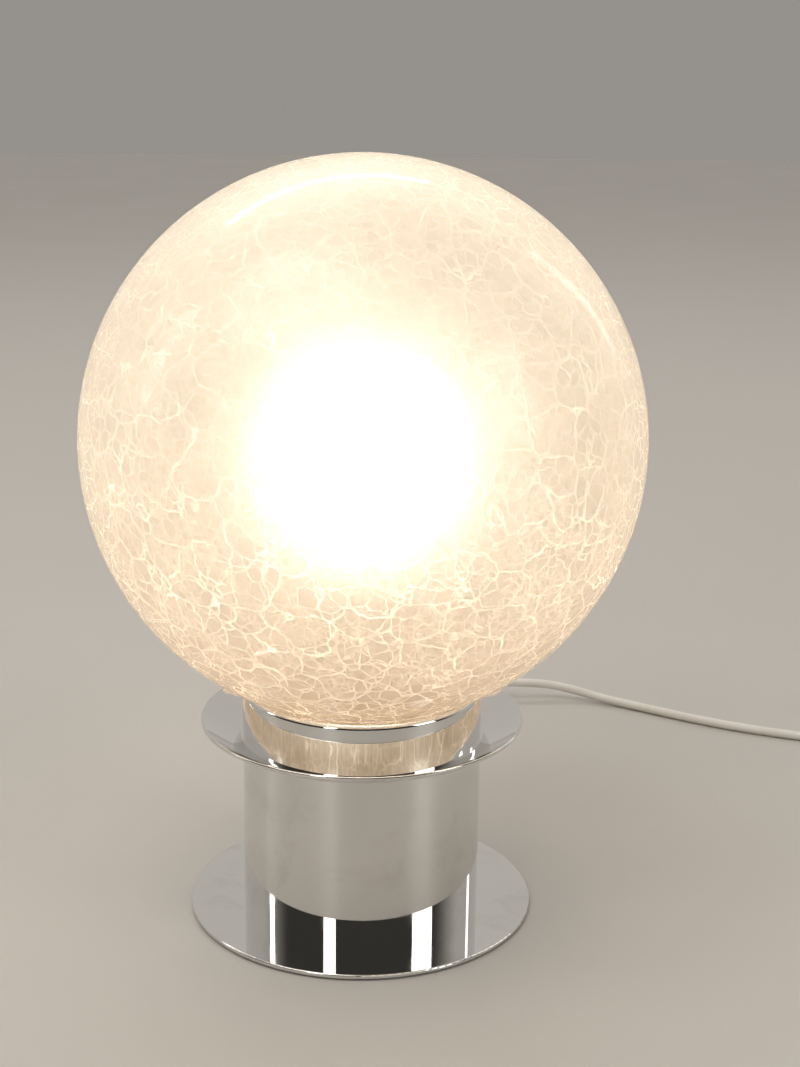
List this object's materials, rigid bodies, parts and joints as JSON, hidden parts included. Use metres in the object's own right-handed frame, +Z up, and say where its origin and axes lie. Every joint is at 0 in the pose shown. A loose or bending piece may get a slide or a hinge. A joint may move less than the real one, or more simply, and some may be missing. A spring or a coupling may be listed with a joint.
{
  "type": "glass globe table lamp",
  "caption": "Table lamp: a large crackled glass globe resting in a rolled gallery ring on a polished cylindrical column between a thin round foot disc and a shallow dished disc.",
  "frame": {"origin": "centre of the foot, on the surface that the lamp stands on", "axes": "+Z up along the column, -Y towards the viewer, the mains lead leaves at +Y"},
  "size_m": [0.4831, 0.4708, 0.3473],
  "materials": {
    "felt": "pressed felt",
    "chrome": "mirror polished chrome plate",
    "cast_iron": "as cast",
    "zinc_steel": "zinc plated",
    "white_pvc": "soft satin",
    "clamp_plastic": "moulded",
    "live_core": "insulated core",
    "neutral_core": "insulated core",
    "gasket_rubber": "silicone",
    "crackle_glass": "crackled, lit from inside",
    "holder_plastic": "moulded thermoset",
    "porcelain": "glazed",
    "brass": "pressed",
    "frosted_glass": "frosted, lit",
    "bulb_cap_metal": "rolled thread",
    "black_vitrite": "glassy",
    "switch_plastic": "moulded, fine texture",
    "plug_plastic": "moulded",
    "nickel_pins": "nickel plated"
  },
  "bodies": {
    "lamp": {"felt_pad": "felt", "base_disc": "chrome", "column_tube": "chrome", "upper_disc": "chrome", "gallery_cup": "chrome", "ballast_weight": "cast_iron", "base_screws": "zinc_steel", "lower_washer": "zinc_steel", "lower_nut": "zinc_steel", "threaded_tube": "zinc_steel", "cord_clamp_screws": "zinc_steel", "gallery_washer": "zinc_steel", "gallery_nut": "zinc_steel", "holder_nut": "zinc_steel", "switch_screws": "zinc_steel", "rocker_pin": "zinc_steel", "cord_boot": "white_pvc", "cord_sheath_inside": "white_pvc", "cord_lead": "white_pvc", "cord_run": "white_pvc", "cord_coil": "white_pvc", "cord_tail": "white_pvc", "cord_clamp": "clamp_plastic", "wire_live": "live_core", "wire_neutral": "neutral_core", "neck_gasket": "gasket_rubber", "holder_base": "holder_plastic", "holder_shell": "holder_plastic", "holder_insulator": "porcelain", "screw_shell": "brass", "centre_contact": "brass", "terminal_screws": "brass", "switch_contacts": "brass", "switch_base_shell": "switch_plastic", "switch_top_shell": "switch_plastic", "plug_body": "plug_plastic", "plug_pins": "nickel_pins"},
    "globe": {"globe": "crackle_glass"},
    "bulb_carriage": {"bulb_contact": "bulb_cap_metal"},
    "bulb": {"bulb_glass": "frosted_glass", "bulb_cap": "bulb_cap_metal", "bulb_insulator": "black_vitrite"},
    "rocker": {"switch_rocker": "switch_plastic"}
  },
  "joints": [
    {"name": "globe_lift", "type": "slide", "parent": "lamp", "child": "globe", "axis": [0, 0, 1], "range_m": [0, 0.2]},
    {"name": "bulb_rise", "type": "slide", "parent": "lamp", "child": "bulb_carriage", "axis": [0, 0, 1], "range_m": [0, 0.0218]},
    {"name": "bulb_turn", "type": "hinge", "parent": "bulb_carriage", "child": "bulb", "pos_m": [0, 0, 0.19], "axis": [0, 0, 1], "range_deg": [0, 2160]},
    {"name": "switch_press", "type": "hinge", "parent": "lamp", "child": "rocker", "pos_m": [-0.04802, 0.21994, 0.0128], "axis": [-0.9659, -0.2588, 0], "range_deg": [0, 16]}
  ],
  "couplings": [
    {"joint": "bulb_rise", "follows": "bulb_turn", "m_per_rad": 0.00057757}
  ]
}
